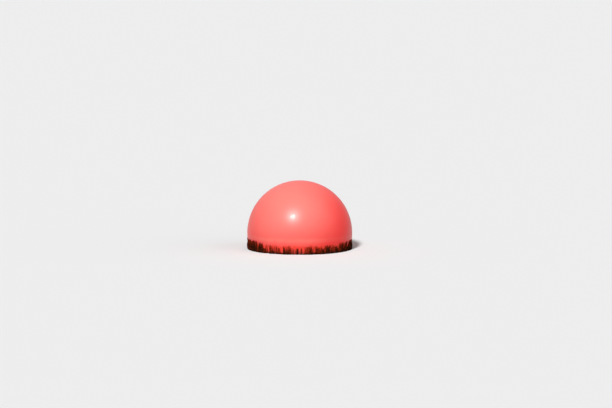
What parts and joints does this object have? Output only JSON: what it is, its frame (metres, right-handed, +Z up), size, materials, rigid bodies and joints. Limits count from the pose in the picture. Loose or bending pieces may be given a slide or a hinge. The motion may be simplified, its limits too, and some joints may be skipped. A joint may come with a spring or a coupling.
{
  "type": "inflatable ball buoy",
  "caption": "Round red inflated buoy afloat, ringed with waterline weed, with a ribbed rope hold, a bow shackle and a swivel eye hanging below for a mooring chain.",
  "frame": {"origin": "on the ball's axis, at the surface of the water", "axes": "+Z straight up out of the water, +X along the shackle's pin towards its grip"},
  "size_m": [0.46, 0.46, 0.7599],
  "materials": {
    "red_vinyl": "smooth glossy soft vinyl in bright red, faintly sun-faded on top",
    "dark_vinyl": "solid moulded vinyl, nearly black, dulled by slime",
    "valve_plastic": "hard black plastic",
    "valve_plug_plastic": "off-white nylon, stained by the water",
    "gasket_rubber": "soft black rubber",
    "galvanised_steel": "hot-dip galvanised, dull grey, with rust where it rubs",
    "steel_wire": "soft galvanised wire, dulled",
    "wet_weed": "wet dark brown-green algae, matted and glossy"
  },
  "bodies": {
    "float": {"ball": "red_vinyl", "rope_hold": "dark_vinyl", "valve_body": "valve_plastic", "valve_plug": "valve_plug_plastic", "valve_gasket": "gasket_rubber", "weed_fringe": "wet_weed"},
    "shackle": {"shackle_bow": "galvanised_steel", "shackle_pin": "galvanised_steel", "mousing_wire": "steel_wire"},
    "swivel_upper": {"swivel_loop": "galvanised_steel"},
    "swivel_lower": {"swivel_eye": "galvanised_steel", "swivel_washer": "galvanised_steel"}
  },
  "joints": [
    {"name": "shackle_swing", "type": "hinge", "parent": "float", "child": "shackle", "pos_m": [0, 0, -0.26344], "axis": [1, 0, 0], "range_deg": [-100, 100]},
    {"name": "swivel_swing", "type": "hinge", "parent": "shackle", "child": "swivel_upper", "pos_m": [0, 0, -0.32665], "axis": [0, 1, 0], "range_deg": [-60, 60]},
    {"name": "swivel_turn", "type": "hinge", "parent": "swivel_upper", "child": "swivel_lower", "pos_m": [0, 0, -0.40364], "axis": [0, 0, 1], "continuous": true}
  ]
}
